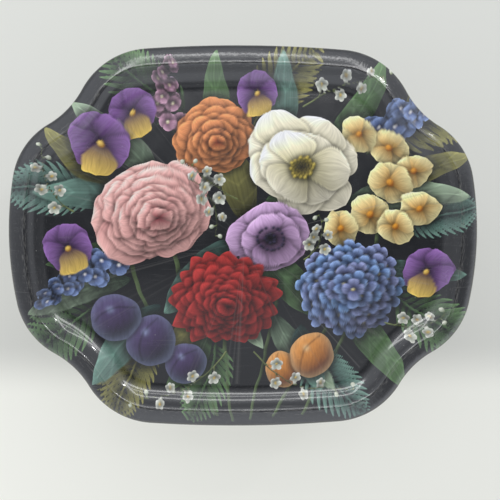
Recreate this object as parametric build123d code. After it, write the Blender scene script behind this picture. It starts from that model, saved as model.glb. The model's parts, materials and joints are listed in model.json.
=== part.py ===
"""Folding tray table: a pressed sheet-steel tray on two bent-tube legs that fold flat beneath it.

The frame has its origin on the floor below the middle of the tray, +X along the tray's
long side, +Y across it and +Z up. The legs stand open, splayed outwards.
"""
from math import atan2, cos, degrees, hypot, radians, sin, sqrt, tan
import os

from build123d import *

# Tray outline: bowed long and short edges, with a rounded notch between two shoulders at each corner
tray_length = 490.0
tray_width = 399.0
long_edge_radius = 1350.0
short_edge_radius = 360.0
long_shoulder_radius = 82.0
short_shoulder_radius = 78.0
long_shoulder_x = 95.0
short_shoulder_y = 52.0
notch_radius = 95.0

# Tray section, from the flat floor up the wall, over the crest and down the flange to the curled hem
tray_sheet = 0.8
tray_depth = 15.0
foot_radius = 25.0
wall_angle = 50.0
crest_radius = 3.5
flange_radius = 60.0
flange_inner_angle = 15.0
flange_outer_angle = 32.0
curl_radius = 2.2
curl_end_angle = 290.0

# Legs: a tube bent to a trapezium, narrow at the pivots and wide at the floor
tube_diameter = 10.0
tube_wall = 1.0
leg_splay = 6.0
pivot_end_inset = 67.0
pivot_side_inset = 127.5
rail_side_inset = 49.5
folded_rail_spacing = 24.0
neck_length = 26.0
neck_bend_radius = 30.0
rail_bend_radius = 20.0

# Knuckle: the fitting in each tube end, with a square heel that stops the leg
knuckle_thickness = 8.0
knuckle_length = 18.0
collar_length = 4.0
spigot_length = 14.0

# Hinge bracket: a folded channel under the tray floor
bracket_sheet = 1.5
bracket_bend_radius = 0.8
bracket_tail = 22.0
ear_radius = 8.5
ear_root_radius = 4.0
weld_diameter = 4.0
weld_depth = 0.3
weld_spacing = 9.0

# Pivot pin and washers
pin_diameter = 5.0
pin_head_diameter = 9.0
pin_head_height = 2.0
washer_diameter = 13.0
washer_thickness = 0.6

# Floor glides on the rails
glide_length = 30.0
glide_wall = 2.5
glide_sole_step = 1.0
glide_sole_width = 11.0
glide_chamfer = 1.0
glide_bend_gap = 2.0

# Spring clips that hold both rails when the legs are folded
clip_sheet = 0.8
clip_width = 12.0
clip_glide_gap = 20.0
clip_reach = 1.5
clip_lip = 3.5
clip_lip_flare = 2.5
clip_bend_radius = 1.6
clip_middle_radius = 4.0

# Clearances
pin_running_clearance = 0.05
pin_fixed_clearance = 0.02
spigot_clearance = 0.05
glide_bore_clearance = 0.1
washer_side_clearance = 0.1
heel_stop_clearance = 0.3
clip_side_clearance = 0.5
fold_clearance = 2.0

# The folded rails lie side by side under the middle of the tray, which sets the length of the legs
tube_radius = tube_diameter / 2
pivot_x = tray_length / 2 - pivot_end_inset
pivot_y = tray_width / 2 - pivot_side_inset
folded_rail_x = folded_rail_spacing / 2
leg_length = pivot_x - folded_rail_x

# Heights over the floor, from the glides up to the tray
glide_radius = tube_radius + glide_wall
pivot_drop = glide_radius + fold_clearance
rail_x = pivot_x + leg_length * sin(radians(leg_splay))
rail_z = glide_radius + glide_sole_step
pivot_z = rail_z + leg_length * cos(radians(leg_splay))
underside_z = pivot_z + pivot_drop
floor_z = underside_z + tray_sheet

# Places along the rail: its corners, then the glides and the clips inside its bends
rail_corner_y = tray_width / 2 - rail_side_inset
neck_end = knuckle_length + neck_length
rail_turn = 90 + degrees(atan2(rail_corner_y - pivot_y, leg_length - neck_end))
rail_bend_run = rail_bend_radius * tan(radians(rail_turn / 2))
glide_y = rail_corner_y - rail_bend_run - glide_bend_gap - glide_length / 2
clip_y = glide_y - glide_length / 2 - clip_glide_gap - clip_width / 2

# Widths across one hinge, from the knuckle's middle outwards
washer_start = knuckle_thickness / 2 + washer_side_clearance
ear_start = washer_start + washer_thickness + washer_side_clearance
ear_end = ear_start + bracket_sheet
heel_reach = pivot_drop - bracket_sheet - heel_stop_clearance


def polar(centre, radius, angle):
    """The point at a radius and an angle in degrees from a centre."""
    return (centre[0] + radius * cos(radians(angle)), centre[1] + radius * sin(radians(angle)))


def bearing(start, end):
    """The angle in degrees of the direction from one point to another."""
    return degrees(atan2(end[1] - start[1], end[0] - start[0]))


def corner_arcs():
    """The three arcs of the corner at +X +Y, each as its start, middle and end point.

    The shoulders lie inside the edge arcs and touch them, and the notch lies outside both
    shoulders and touches them, so all the joints between arcs are smooth.
    """
    long_centre = (0, tray_width / 2 - long_edge_radius)
    short_centre = (tray_length / 2 - short_edge_radius, 0)
    long_reach = long_edge_radius - long_shoulder_radius
    short_reach = short_edge_radius - short_shoulder_radius
    upper = (long_shoulder_x, long_centre[1] + sqrt(long_reach**2 - long_shoulder_x**2))
    lower = (short_centre[0] + sqrt(short_reach**2 - short_shoulder_y**2), short_shoulder_y)

    apart = hypot(lower[0] - upper[0], lower[1] - upper[1])
    to_upper = long_shoulder_radius + notch_radius
    to_lower = short_shoulder_radius + notch_radius
    along = (to_upper**2 - to_lower**2 + apart**2) / (2 * apart)
    aside = sqrt(to_upper**2 - along**2)
    notch = polar(polar(upper, along, bearing(upper, lower)), aside, bearing(upper, lower) + 90)

    lower_start = bearing(short_centre, lower)
    lower_end = bearing(lower, notch)
    upper_start = bearing(upper, notch)
    upper_end = bearing(long_centre, upper)
    notch_start = bearing(notch, lower)
    notch_end = bearing(notch, upper)
    turns = [
        (lower, short_shoulder_radius, lower_start, lower_end),
        (notch, notch_radius, notch_start % 360, notch_end % 360),
        (upper, long_shoulder_radius, upper_start, upper_end),
    ]
    return [
        [polar(centre, radius, angle) for angle in (start, (start + end) / 2, end)]
        for centre, radius, start, end in turns
    ]


def tray_outline():
    """The closed outline of the tray's outer edge, counterclockwise from the right-hand edge."""
    quarter = corner_arcs()
    mirrored = [[(-x, y) for x, y in reversed(arc)] for arc in reversed(quarter)]
    upper_half = quarter + [[quarter[-1][-1], (0, tray_width / 2), mirrored[0][0]]] + mirrored
    lower_half = [[(-x, -y) for x, y in arc] for arc in upper_half]
    left_edge = [upper_half[-1][-1], (-tray_length / 2, 0), lower_half[0][0]]
    right_edge = [lower_half[-1][-1], (tray_length / 2, 0), upper_half[0][0]]
    arcs = [right_edge] + upper_half + [left_edge] + lower_half
    return Wire([ThreePointArc(*arc) for arc in arcs])


def section_points(inset):
    """Points along the rim's section at a depth below its upper skin, from the floor to the hem.

    They alternate between the ends and the middles of its arcs. The first coordinate is
    the distance in from the outer edge, the second the height over the tray floor.
    """
    hem_angle = 90 + flange_outer_angle
    crest_angle = 90 + flange_inner_angle
    wall_normal = 90 - wall_angle
    hem_top = polar((curl_radius, 0), curl_radius, hem_angle)
    flange_run = flange_radius * (sin(radians(flange_outer_angle)) - sin(radians(flange_inner_angle)))
    crest_x = hem_top[0] + flange_run + crest_radius * sin(radians(flange_inner_angle))
    crest = (crest_x, tray_depth - crest_radius)
    flange = polar(crest, flange_radius - crest_radius, crest_angle + 180)
    curl = polar(flange, flange_radius - curl_radius, hem_angle)

    wall_top = polar(crest, crest_radius, wall_normal)
    foot_top_z = foot_radius * (1 - sin(radians(wall_normal)))
    wall_run = (wall_top[1] - foot_top_z) / sin(radians(wall_angle)) * cos(radians(wall_angle))
    foot = (wall_top[0] + wall_run + foot_radius * cos(radians(wall_normal)), foot_radius)

    turns = [
        (foot, foot_radius + inset, 270, 180 + wall_normal),
        (crest, crest_radius - inset, wall_normal, crest_angle),
        (flange, flange_radius - inset, crest_angle, hem_angle),
        (curl, curl_radius - inset, hem_angle, curl_end_angle),
    ]
    return [
        [polar(centre, radius, angle) for angle in (start, (start + end) / 2, end)]
        for centre, radius, start, end in turns
    ]


def tray():
    """The pressed tray: the rim's section carried round the outline, closed by the flat floor."""
    upper = section_points(0)
    under = section_points(tray_sheet)
    skins = []
    for foot, crest, flange, curl in (upper, under):
        skins += [ThreePointArc(*foot), Line(foot[-1], crest[0]), ThreePointArc(*crest)]
        skins += [ThreePointArc(*flange), ThreePointArc(*curl)]
    ends = [Line(upper[0][0], under[0][0]), Line(upper[-1][-1], under[-1][-1])]
    outline = tray_outline()
    start = outline.position_at(0)
    inwards = Vector(0, 0, 1).cross(outline.tangent_at(0))
    section = Plane(start, x_dir=inwards, z_dir=inwards.cross(Vector(0, 0, 1))) * make_face(skins + ends)
    rim = sweep(section, path=outline)
    floor_edge = offset(make_face(outline), -upper[0][0][0])
    floor = extrude(floor_edge, -tray_sheet)
    return Pos(0, 0, floor_z) * (rim + floor)


def hinge_bracket():
    """The channel that carries one knuckle, folded from sheet, about its pivot axis."""
    channel_bend = bracket_sheet + bracket_bend_radius
    tall = 2 * (pivot_drop + ear_radius)
    outside = fillet(Rectangle(2 * ear_end, tall).vertices(), channel_bend)
    inside = fillet(Rectangle(2 * ear_start, tall - 2 * bracket_sheet).vertices(), bracket_bend_radius)
    channel_end = Plane(origin=(0, 0, pivot_drop - tall / 2), x_dir=(0, 1, 0), z_dir=(1, 0, 0))
    channel = extrude(channel_end * (outside - inside), ear_radius + bracket_tail, both=True)

    base_length = 2 * ear_radius + bracket_tail
    base = Pos(ear_radius - base_length / 2, pivot_drop - bracket_sheet / 2)
    ears = Pos(0, pivot_drop / 2) * Rectangle(2 * ear_radius, pivot_drop) + Circle(ear_radius)
    side = ears + base * Rectangle(base_length, bracket_sheet)
    root = side.vertices().sort_by_distance((-ear_radius, pivot_drop - bracket_sheet))[0]
    side = fillet(root, ear_root_radius) - Circle(pin_diameter / 2 + pin_fixed_clearance)
    bracket = channel & extrude(Plane.XZ * side, ear_end, both=True)

    for step in (-0.5, 0.5):
        weld_x = -ear_radius - bracket_tail / 2 + step * weld_spacing
        weld = Pos(weld_x, 0, pivot_drop - bracket_sheet) * Cylinder(weld_diameter / 2, 2 * weld_depth)
        bracket -= weld
    return bracket


def pivot_pin():
    """The rivet through both ears, turned about its axis, with a domed head at each end."""
    shank_radius = pin_diameter / 2
    head_radius = pin_head_diameter / 2
    tip = ear_end + pin_head_height
    half_section = [
        TangentArc((0, tip), (head_radius, ear_end), tangent=(1, 0)),
        Line((head_radius, ear_end), (shank_radius, ear_end)),
        Line((shank_radius, ear_end), (shank_radius, -ear_end)),
        Line((shank_radius, -ear_end), (head_radius, -ear_end)),
        TangentArc((0, -tip), (head_radius, -ear_end), tangent=(1, 0)),
        Line((0, -tip), (0, tip)),
    ]
    return revolve(make_face(half_section), Axis.Y)


def pivot_washers():
    """The two flat washers on either side of a knuckle."""
    ring = Circle(washer_diameter / 2) - Circle(pin_diameter / 2 + pin_running_clearance)
    washer = extrude(Plane.XZ * ring, washer_thickness)
    return [Pos(0, -washer_start, 0) * washer, Pos(0, washer_start + washer_thickness, 0) * washer]


def leg_lean():
    """The turn that leans a straight-down leg outwards, towards +X."""
    return Rot(0, -leg_splay, 0)


def leg_tube():
    """The bent tube of one leg, open at both ends, about the middle of its pivot axis."""
    near = [(0, pivot_y, -knuckle_length), (0, pivot_y, -neck_end), (0, rail_corner_y, -leg_length)]
    far = [(x, -y, z) for x, y, z in reversed(near)]
    bends = [neck_bend_radius, rail_bend_radius, rail_bend_radius, neck_bend_radius]
    path = FilletPolyline(*near, *far, radius=bends)
    ring = Circle(tube_radius) - Circle(tube_radius - tube_wall)
    return leg_lean() * sweep(Plane(near[0], z_dir=(0, 0, -1)) * ring, path=path)


def leg_knuckle():
    """The fitting in a tube end: pivot eye with its square heel, flattened neck, collar and spigot."""
    heel = Pos(heel_reach / 2, heel_reach / 2) * Rectangle(heel_reach, heel_reach)
    eye = extrude(Plane.XZ * (Circle(heel_reach) + heel), knuckle_thickness / 2, both=True)
    align = (Align.CENTER, Align.CENTER, Align.MAX)
    neck = Cylinder(tube_radius, knuckle_length - collar_length, align=align)
    neck &= Box(tube_diameter, knuckle_thickness, 2 * knuckle_length)
    collar = Pos(0, 0, collar_length - knuckle_length) * Cylinder(tube_radius, collar_length, align=align)
    spigot_radius = tube_radius - tube_wall - spigot_clearance
    spigot = Pos(0, 0, -knuckle_length) * Cylinder(spigot_radius, spigot_length, align=align)
    bore = Rot(90, 0, 0) * Cylinder(pin_diameter / 2 + pin_running_clearance, 2 * knuckle_thickness)
    return eye + leg_lean() * (neck + collar + spigot) - bore


def floor_glide():
    """The sleeve on a rail, with a flat sole that lies on the floor when the leg is open."""
    sole = Line((-glide_sole_width / 2, -rail_z), (glide_sole_width / 2, -rail_z))
    outside = make_hull(Circle(glide_radius).edges() + sole.edges())
    body = extrude(Plane.XZ * outside, glide_length / 2, both=True)
    ends = body.faces().sort_by(Axis.Y)
    body = chamfer(ends[0].edges() + ends[-1].edges(), glide_chamfer)
    bore = Rot(90, 0, 0) * Cylinder(tube_radius + glide_bore_clearance, 2 * glide_length)
    return body - bore


def rail_clip():
    """One bent strip with a downward mouth for each folded rail, under the tray floor at y = 0."""
    half_mouth = tube_radius + clip_side_clearance + clip_sheet / 2
    outer_x = folded_rail_x + half_mouth
    inner_x = folded_rail_x - half_mouth
    root_z = -clip_sheet / 2
    mouth_z = -pivot_drop - clip_reach
    right = [
        (inner_x, 0, mouth_z),
        (inner_x, 0, root_z),
        (outer_x, 0, root_z),
        (outer_x, 0, mouth_z),
        (outer_x + clip_lip_flare, 0, mouth_z - clip_lip),
    ]
    left = [(-x, y, z) for x, y, z in reversed(right)]
    bends = 3 * [clip_bend_radius] + 2 * [clip_middle_radius] + 3 * [clip_bend_radius]
    path = FilletPolyline(*left, *right, radius=bends)
    start = Plane(path.position_at(0), x_dir=(0, 1, 0), z_dir=path.tangent_at(0))
    return Pos(0, 0, underside_z) * sweep(start * Rectangle(clip_width, clip_sheet), path=path)


def save(solids, name):
    """Writes one node, made of one or more separate solids."""
    shape = solids[0] if len(solids) == 1 else Compound(children=solids)
    export_step(shape, f"parts/{name}.step")


os.makedirs("parts", exist_ok=True)
save([tray()], "tray")
for place, end in (("front", -1), ("back", 1)):
    save([Pos(0, end * clip_y, 0) * rail_clip()], f"rail_clip_{place}")

for side, turn in (("right", Rot(0, 0, 0)), ("left", Rot(0, 0, 180))):
    hinge_line = turn * Pos(pivot_x, 0, pivot_z)
    save([hinge_line * leg_tube()], f"leg_tube_{side}")
    washers = []
    for end in (-1, 1):
        pivot = hinge_line * Pos(0, end * pivot_y, 0)
        place = "front" if pivot.position.Y < 0 else "back"
        save([pivot * hinge_bracket()], f"hinge_bracket_{side}_{place}")
        save([pivot * pivot_pin()], f"pivot_pin_{side}_{place}")
        save([pivot * leg_knuckle()], f"leg_knuckle_{side}_{place}")
        washers += [pivot * washer for washer in pivot_washers()]
        glide = turn * Pos(rail_x, end * glide_y, rail_z) * floor_glide()
        save([glide], f"floor_glide_{side}_{place}")
    save(washers, f"pivot_washers_{side}")
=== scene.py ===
import json
from math import atan2, cos, degrees, hypot, pi, radians, sin, sqrt, tan

import bpy
import numpy as np
from mathutils import Matrix, Vector


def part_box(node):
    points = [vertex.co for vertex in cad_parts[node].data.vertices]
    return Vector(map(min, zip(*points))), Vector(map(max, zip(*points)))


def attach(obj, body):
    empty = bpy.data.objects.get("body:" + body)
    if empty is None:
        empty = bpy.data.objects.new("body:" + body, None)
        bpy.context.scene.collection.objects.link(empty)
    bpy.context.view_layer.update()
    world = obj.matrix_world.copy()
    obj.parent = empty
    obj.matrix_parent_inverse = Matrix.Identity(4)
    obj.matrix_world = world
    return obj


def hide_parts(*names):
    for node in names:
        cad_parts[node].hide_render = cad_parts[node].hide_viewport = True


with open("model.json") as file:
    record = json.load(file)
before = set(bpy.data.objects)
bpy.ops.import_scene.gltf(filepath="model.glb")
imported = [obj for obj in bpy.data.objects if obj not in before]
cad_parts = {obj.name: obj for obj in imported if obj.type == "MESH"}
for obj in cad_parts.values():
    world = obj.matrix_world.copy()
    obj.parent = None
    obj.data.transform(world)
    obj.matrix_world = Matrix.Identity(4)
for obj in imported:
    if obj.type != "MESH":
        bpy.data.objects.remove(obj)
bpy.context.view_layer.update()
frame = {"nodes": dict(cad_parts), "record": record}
record = frame["record"]


# The tray, one pressing of thin sheet steel with a flat floor, a sloping wall, a crest and a turned-down
# flange that ends in a curled hem. Its plan is bowed on all four edges, with a hollow at each corner.
mm = 0.001
tray_low, tray_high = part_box("tray")
half_length = (tray_high.x - tray_low.x) / 2 / mm
half_width = (tray_high.y - tray_low.y) / 2 / mm
floor_height = next(m["pos_m"][2] for m in record["mounts"] if m["name"] == "tray_floor") / mm
sheet = 0.8
tray_depth = tray_high.z / mm - floor_height

long_edge_radius, short_edge_radius = 1350.0, 360.0
long_shoulder_radius, short_shoulder_radius = 82.0, 78.0
long_shoulder_x, short_shoulder_y = 95.0, 52.0
notch_radius = 95.0

foot_radius, crest_radius, flange_radius, curl_radius = 25.0, 3.5, 60.0, 2.2
wall_normal, crest_end, flange_end, curl_end = 40.0, 105.0, 122.0, 290.0


def polar(centre, radius, angle):
    """The point at a radius and an angle in degrees from a centre."""
    return (centre[0] + radius * cos(radians(angle)), centre[1] + radius * sin(radians(angle)))


def bearing(start, end):
    """The angle in degrees of the direction from one point to another."""
    return degrees(atan2(end[1] - start[1], end[0] - start[0]))


# The section's arcs touch each other, so each centre follows from its neighbour's.
hem_x = curl_radius + (curl_radius - flange_radius) * cos(radians(flange_end))
crest_x = hem_x - (crest_radius - flange_radius) * cos(radians(crest_end))
crest_centre = (crest_x, tray_depth - crest_radius)
flange_centre = polar(crest_centre, flange_radius - crest_radius, crest_end + 180)
curl_centre = polar(flange_centre, flange_radius - curl_radius, flange_end)
wall_top = polar(crest_centre, crest_radius, wall_normal)
wall_foot_z = foot_radius * (1 - sin(radians(wall_normal)))
wall_foot_x = wall_top[0] + (wall_top[1] - wall_foot_z) * tan(radians(wall_normal))
floor_inset = wall_foot_x + foot_radius * cos(radians(wall_normal))
foot_centre = (floor_inset, foot_radius)


def rim_section(inset, steps):
    """The rim's section at a depth below the upper skin, from the floor's edge to the end of the hem.

    Each arc is its centre plus a radius times the direction of an angle that runs evenly
    from its first to its last value; the wall is the straight between the first two arcs.
    """
    turns = [
        (foot_centre, foot_radius + inset, 270, 180 + wall_normal),
        (crest_centre, crest_radius - inset, wall_normal, crest_end),
        (flange_centre, flange_radius - inset, crest_end, flange_end),
        (curl_centre, curl_radius - inset, flange_end, curl_end),
    ]
    runs = []
    for (centre, radius, first, last), count in zip(turns, steps[:1] + steps[2:]):
        angle = np.radians(np.linspace(first, last, count + 1))
        runs.append(np.stack([centre[0] + radius * np.cos(angle), centre[1] + radius * np.sin(angle)], 1))
    wall = np.linspace(runs[0][-1], runs[1][0], steps[1] + 1)[1:-1]
    return np.concatenate([runs[0], wall, runs[1]] + [run[1:] for run in runs[2:]])


# Each corner's shoulders lie inside the edge arcs and touch them; the hollow touches both shoulders.
long_centre = (0, half_width - long_edge_radius)
short_centre = (half_length - short_edge_radius, 0)
long_reach = long_edge_radius - long_shoulder_radius
short_reach = short_edge_radius - short_shoulder_radius
upper = (long_shoulder_x, long_centre[1] + sqrt(long_reach**2 - long_shoulder_x**2))
lower = (short_centre[0] + sqrt(short_reach**2 - short_shoulder_y**2), short_shoulder_y)
apart = hypot(lower[0] - upper[0], lower[1] - upper[1])
to_upper = long_shoulder_radius + notch_radius
to_lower = short_shoulder_radius + notch_radius
foot_along = (to_upper**2 - to_lower**2 + apart**2) / (2 * apart)
foot_point = polar(upper, foot_along, bearing(upper, lower))
notch = polar(foot_point, sqrt(to_upper**2 - foot_along**2), bearing(upper, lower) + 90)
notch_middle = (bearing(notch, lower) % 360 + bearing(notch, upper) % 360) / 2
short_run = [
    (short_centre, short_edge_radius, 0, bearing(short_centre, lower), 1),
    (lower, short_shoulder_radius, bearing(short_centre, lower), bearing(lower, notch), 1),
    (notch, notch_radius, bearing(notch, lower) % 360, notch_middle, -1),
]
long_run = [
    (long_centre, long_edge_radius, 90, bearing(long_centre, upper), 1),
    (upper, long_shoulder_radius, bearing(long_centre, upper), bearing(upper, notch), 1),
    (notch, notch_radius, bearing(notch, upper) % 360, notch_middle, -1),
]


def edge_run(arcs, part):
    """Points and outward normals along a chain of arcs, at parts 0 to 1 of its length at the floor's edge.

    A point is its arc's centre plus the radius times the direction of its angle. The normal
    is that direction, turned round on a hollow arc, whose last value is -1.
    """
    centre = np.array([arc[0] for arc in arcs])
    radius, first, last, bulge = np.array([arc[1:] for arc in arcs]).T
    length = np.abs(np.radians(last - first)) * (radius - bulge * floor_inset)
    ends = np.cumsum(length)
    at = part * ends[-1]
    arc = np.minimum(np.searchsorted(ends, at), len(arcs) - 1)
    angle = np.radians(first[arc] + (last - first)[arc] * (at - (ends - length)[arc]) / length[arc])
    direction = np.stack([np.cos(angle), np.sin(angle)], 1)
    return centre[arc] + radius[arc, None] * direction, bulge[arc, None] * direction


def tray_plan(u, v):
    """Maps a square to the tray's plan: each square ring becomes the outline, shrunk towards the middle.

    Gives the ring's size from 0 to 1, the point of the outline and its outward normal.
    """
    ring = np.maximum(np.abs(u), np.abs(v))
    short_side = (np.abs(u) >= np.abs(v))[:, None]
    part = np.minimum(np.abs(u), np.abs(v)) / np.maximum(ring, 1e-9)
    short_point, short_normal = edge_run(short_run, part)
    long_point, long_normal = edge_run(long_run, part)
    mirror = np.stack([np.where(u < 0, -1, 1), np.where(v < 0, -1, 1)], 1)
    point = np.where(short_side, short_point, long_point) * mirror
    normal = np.where(short_side, short_normal, long_normal) * mirror
    return ring, point, normal


columns, rows = 288, 216
square = np.meshgrid(np.linspace(-1, 1, columns + 1), np.linspace(-1, 1, rows + 1))
grid_ring, grid_edge, grid_normal = tray_plan(square[0].ravel(), square[1].ravel())
floor_plan = grid_ring[:, None] * (grid_edge - floor_inset * grid_normal)

# Steps along the foot, the wall, the crest, the flange and the curl, on the printed side and underneath.
upper_steps, under_steps = [9, 2, 4, 5, 5], [2, 1, 2, 2, 3]
index = np.arange((rows + 1) * (columns + 1)).reshape(rows + 1, columns + 1)
loop = np.concatenate([index[0, :-1], index[:-1, -1], index[-1, :0:-1], index[:0:-1, 0]])
upper_section = rim_section(0, upper_steps)
under_section = rim_section(sheet, under_steps)[::-1]
section = np.concatenate([upper_section[1:], under_section])
rim_plan = grid_edge[loop] - section[:, None, :1] * grid_normal[loop]
rim_height = np.broadcast_to(section[:, None, 1:], rim_plan.shape[:2] + (1,))

floor_points = np.column_stack([floor_plan, np.zeros(len(floor_plan))])
rim_points = np.concatenate([rim_plan, rim_height], 2).reshape(-1, 3)
tray_points = np.concatenate([floor_points, rim_points])
rings = np.vstack([loop, len(floor_points) + np.arange(len(rim_points)).reshape(len(section), -1)])

floor_quads = np.stack([index[:-1, :-1], index[:-1, 1:], index[1:, 1:], index[1:, :-1]], -1).reshape(-1, 4)
onward = np.roll(rings, -1, 1)
rim_quads = np.stack([rings[:-1], rings[1:], onward[1:], onward[:-1]], -1).reshape(-1, 4)
quads = np.concatenate([floor_quads, rim_quads])
underside = rings[-1, ::-1].tolist()
printed_faces = len(floor_quads) + (len(upper_section) - 1) * len(loop)
sharp_angle = 50

tray_mesh = bpy.data.meshes.new("tray_pressing")
placed_points = (tray_points + [0, 0, floor_height]) * mm
tray_mesh.from_pydata(placed_points.tolist(), [], quads.tolist() + [underside])
unprinted = np.arange(len(quads) + 1) >= printed_faces
tray_mesh.polygons.foreach_set("use_smooth", np.ones(len(quads) + 1, bool))
tray_mesh.polygons.foreach_set("material_index", unprinted.astype(np.int32))
tray_mesh.set_sharp_from_angle(angle=radians(sharp_angle))
tray_piece = bpy.data.objects.new("tray_pressing", tray_mesh)
bpy.context.scene.collection.objects.link(tray_piece)
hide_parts("tray")
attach(tray_piece, "tray_top")


# The print, a bouquet of garden flowers, fruit and ferns on a black ground, laid by offset litho before
# the sheet was pressed. It lies in three layers: leaves, then blooms, then the small sprays in front.
# All painted things are lit from the upper left. The soft edges, shadows and margins are in millimetres.
light_x, light_y = -0.55, 0.83
golden_angle = 137.508
soft_edge, shadow_reach, margin, stem_margin = 1.6, 4.0, 8, 10
# A slight waver in both directions, in millimetres, gives every edge the run of a hand-held brush.
broad_waver, fine_waver = 0.9, 0.3
flat_x, flat_y = tray_points[:, 0], tray_points[:, 1]
plan_x = flat_x + broad_waver * np.sin(0.11 * flat_y + 1.0) + fine_waver * np.sin(0.31 * flat_y)
plan_y = flat_y + broad_waver * np.sin(0.10 * flat_x + 2.0) + fine_waver * np.sin(0.29 * flat_x)


def linear(code):
    """The linear red, green and blue of an sRGB hex colour."""
    srgb = np.array([int(code[k : k + 2], 16) for k in (1, 3, 5)]) / 255
    return np.where(srgb <= 0.04045, srgb / 12.92, ((srgb + 0.055) / 1.055) ** 2.4)


def ramp(*codes):
    """The tints of a petal, leaf or fruit: its root or shade, its tip or light and, on fruit, its bloom."""
    return tuple(linear(code) for code in codes)


def blank_layer():
    """An empty layer of the print: each point's depth inside an edge, its cover, tint and grain."""
    far_outside = -60.0
    return {
        "ink": np.full(len(plan_x), far_outside),
        "cover": np.zeros(len(plan_x)),
        "tint": np.zeros((len(plan_x), 3)),
        "grain": np.zeros((len(plan_x), 3)),
    }


def around(place, radius):
    """The points within a radius of a place, and their offsets from it."""
    near = np.flatnonzero((plan_x - place[0]) ** 2 + (plan_y - place[1]) ** 2 < radius**2)
    return near, plan_x[near] - place[0], plan_y[near] - place[1]


def aslant(dx, dy, lean):
    """Offsets on the face of a flower that is seen aslant, squeezed by a ratio across an axis in degrees."""
    axis = radians(lean[0])
    level = dx * cos(axis) + dy * sin(axis)
    steep = (dy * cos(axis) - dx * sin(axis)) / lean[1]
    return level * cos(axis) - steep * sin(axis), level * sin(axis) + steep * cos(axis)


def lay_down(layer, near, reach, tint, grain, shade):
    """Lays one shape over a layer, with a soft shadow on what is below it.

    reach is the distance inside the shape's edge, negative outside. A point outside all
    shapes takes the tint of the nearest one, so an edge cut at reach 0 stays clean.
    """
    faint = 0.02
    cover = np.clip(0.5 + reach / soft_edge, 0, 1)
    below = layer["cover"][near]
    dimmed = 1 - shade * np.exp(-((np.minimum(reach, 0) / shadow_reach) ** 2)) * (below > faint)
    total = cover + below * (1 - cover)
    share = np.where(total > faint, cover / np.maximum(total, faint), reach > layer["ink"][near])
    old = layer["tint"][near] * dimmed[:, None]
    layer["tint"][near] = old + (tint - old) * share[:, None]
    layer["grain"][near] = np.where(share[:, None] > 0.5, grain, layer["grain"][near])
    layer["cover"][near] = total
    layer["ink"][near] = np.maximum(layer["ink"][near], reach)


def petal(
    layer, place, turn, length, width, tints,
    root=0.8, tip=0.45, bend=0.0, lean=(0.0, 1.0), shade=0.5, gain=1.0, wave=0.0,
):
    """One petal or leaflet that leaves a place along an angle in degrees.

    Its half-width is width * s^root * (1 - s)^tip over that product's peak, with s from 0 at
    the root to 1 at the tip. Its midline bends aside by bend * length * s^2. It is brighter on
    the side and the end that face the light and along its rim, and darker at its rib and root.
    """
    near, dx, dy = around(place, 1.1 * length + width + margin)
    dx, dy = aslant(dx, dy, lean)
    angle = radians(turn)
    s = (dx * cos(angle) + dy * sin(angle)) / length
    t = dy * cos(angle) - dx * sin(angle) - bend * length * s * s
    inner = np.clip(s, 0.002, 0.998)
    peak = (root / (root + tip)) ** root * (tip / (root + tip)) ** tip
    half = width * inner**root * (1 - inner) ** tip / peak
    half = half * (1 + wave * np.sin(9.0 * inner + 2.4 * np.sign(t) + 0.05 * turn))
    slope = half * (root / inner - tip / (1 - inner)) / length
    reach = (half - np.abs(t)) / np.sqrt(1 + np.minimum(slope**2, 9))
    reach = reach - length * (np.maximum(-s, 0) + np.maximum(s - 1, 0))
    roll = np.clip(t / np.maximum(half, 0.3), -1, 1)
    across = cos(angle) * light_y - sin(angle) * light_x
    along = cos(angle) * light_x + sin(angle) * light_y
    light = 0.95 + 0.34 * roll * across + 0.3 * (inner - 0.6) * along
    light += 0.22 * np.exp(-((reach / 1.5) ** 2)) - 0.14 * np.exp(-((t / (0.14 * width)) ** 2)) * inner
    light *= 0.62 + 0.38 * inner**0.5
    blend = (inner**0.9)[:, None]
    tint = (tints[0] * (1 - blend) + tints[1] * blend) * (light * gain)[:, None]
    grain = np.stack([roll, inner, np.full(len(near), turn * 0.37 + place[0])], 1)
    lay_down(layer, near, reach, tint, grain, shade)


def disc(layer, place, radius, tints, lean=(0.0, 1.0), shade=0.5):
    """A ball or button seen from the front: bright where it faces the light, dark at its far edge."""
    near, dx, dy = around(place, radius + margin)
    dx, dy = aslant(dx, dy, lean)
    away = np.hypot(dx, dy) / radius
    front = np.sqrt(np.clip(1 - away**2, 0, 1))
    lit = np.clip((dx * light_x + dy * light_y) / radius * 0.7 + front * 0.6, 0, 1.1)
    tint = tints[0] * (1 - lit)[:, None] * 0.8 + tints[1] * lit[:, None]
    gloss = np.exp(-(((dx / radius - 0.42 * light_x) ** 2 + (dy / radius - 0.42 * light_y) ** 2) / 0.02))
    haze = np.clip(away, 0, 1) ** 4
    if len(tints) > 2:
        tint = tint + (tints[2] - tint) * (0.6 * gloss + 0.28 * haze)[:, None]
    grain = np.stack([dx / radius, dy / radius, np.full(len(near), place[0])], 1)
    lay_down(layer, near, radius * (1 - away), tint, grain, shade)


def fruit(layer, place, radius, tints, turn):
    """A stone fruit: a ball with a seam that curves from its stalk end to its far end."""
    disc(layer, place, radius, tints, (turn, 0.93), 0.65)
    near, dx, dy = around(place, radius)
    angle = radians(turn)
    along = (dx * cos(angle) + dy * sin(angle)) / radius
    aside = (dy * cos(angle) - dx * sin(angle)) / radius
    seam = aside - 0.38 * (1 - along**2)
    crease = np.exp(-((seam / 0.05) ** 2)) * (np.hypot(dx, dy) < 0.9 * radius)
    layer["tint"][near] *= (1 - 0.45 * crease)[:, None]


def curve(points, s):
    """Points of a quadratic curve through a start, a pull and an end point, at parts 0 to 1."""
    a, b, c = (np.array(point, float) for point in points)
    s = np.asarray(s, float)[..., None]
    return (1 - s) ** 2 * a + 2 * s * (1 - s) * b + s**2 * c


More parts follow.
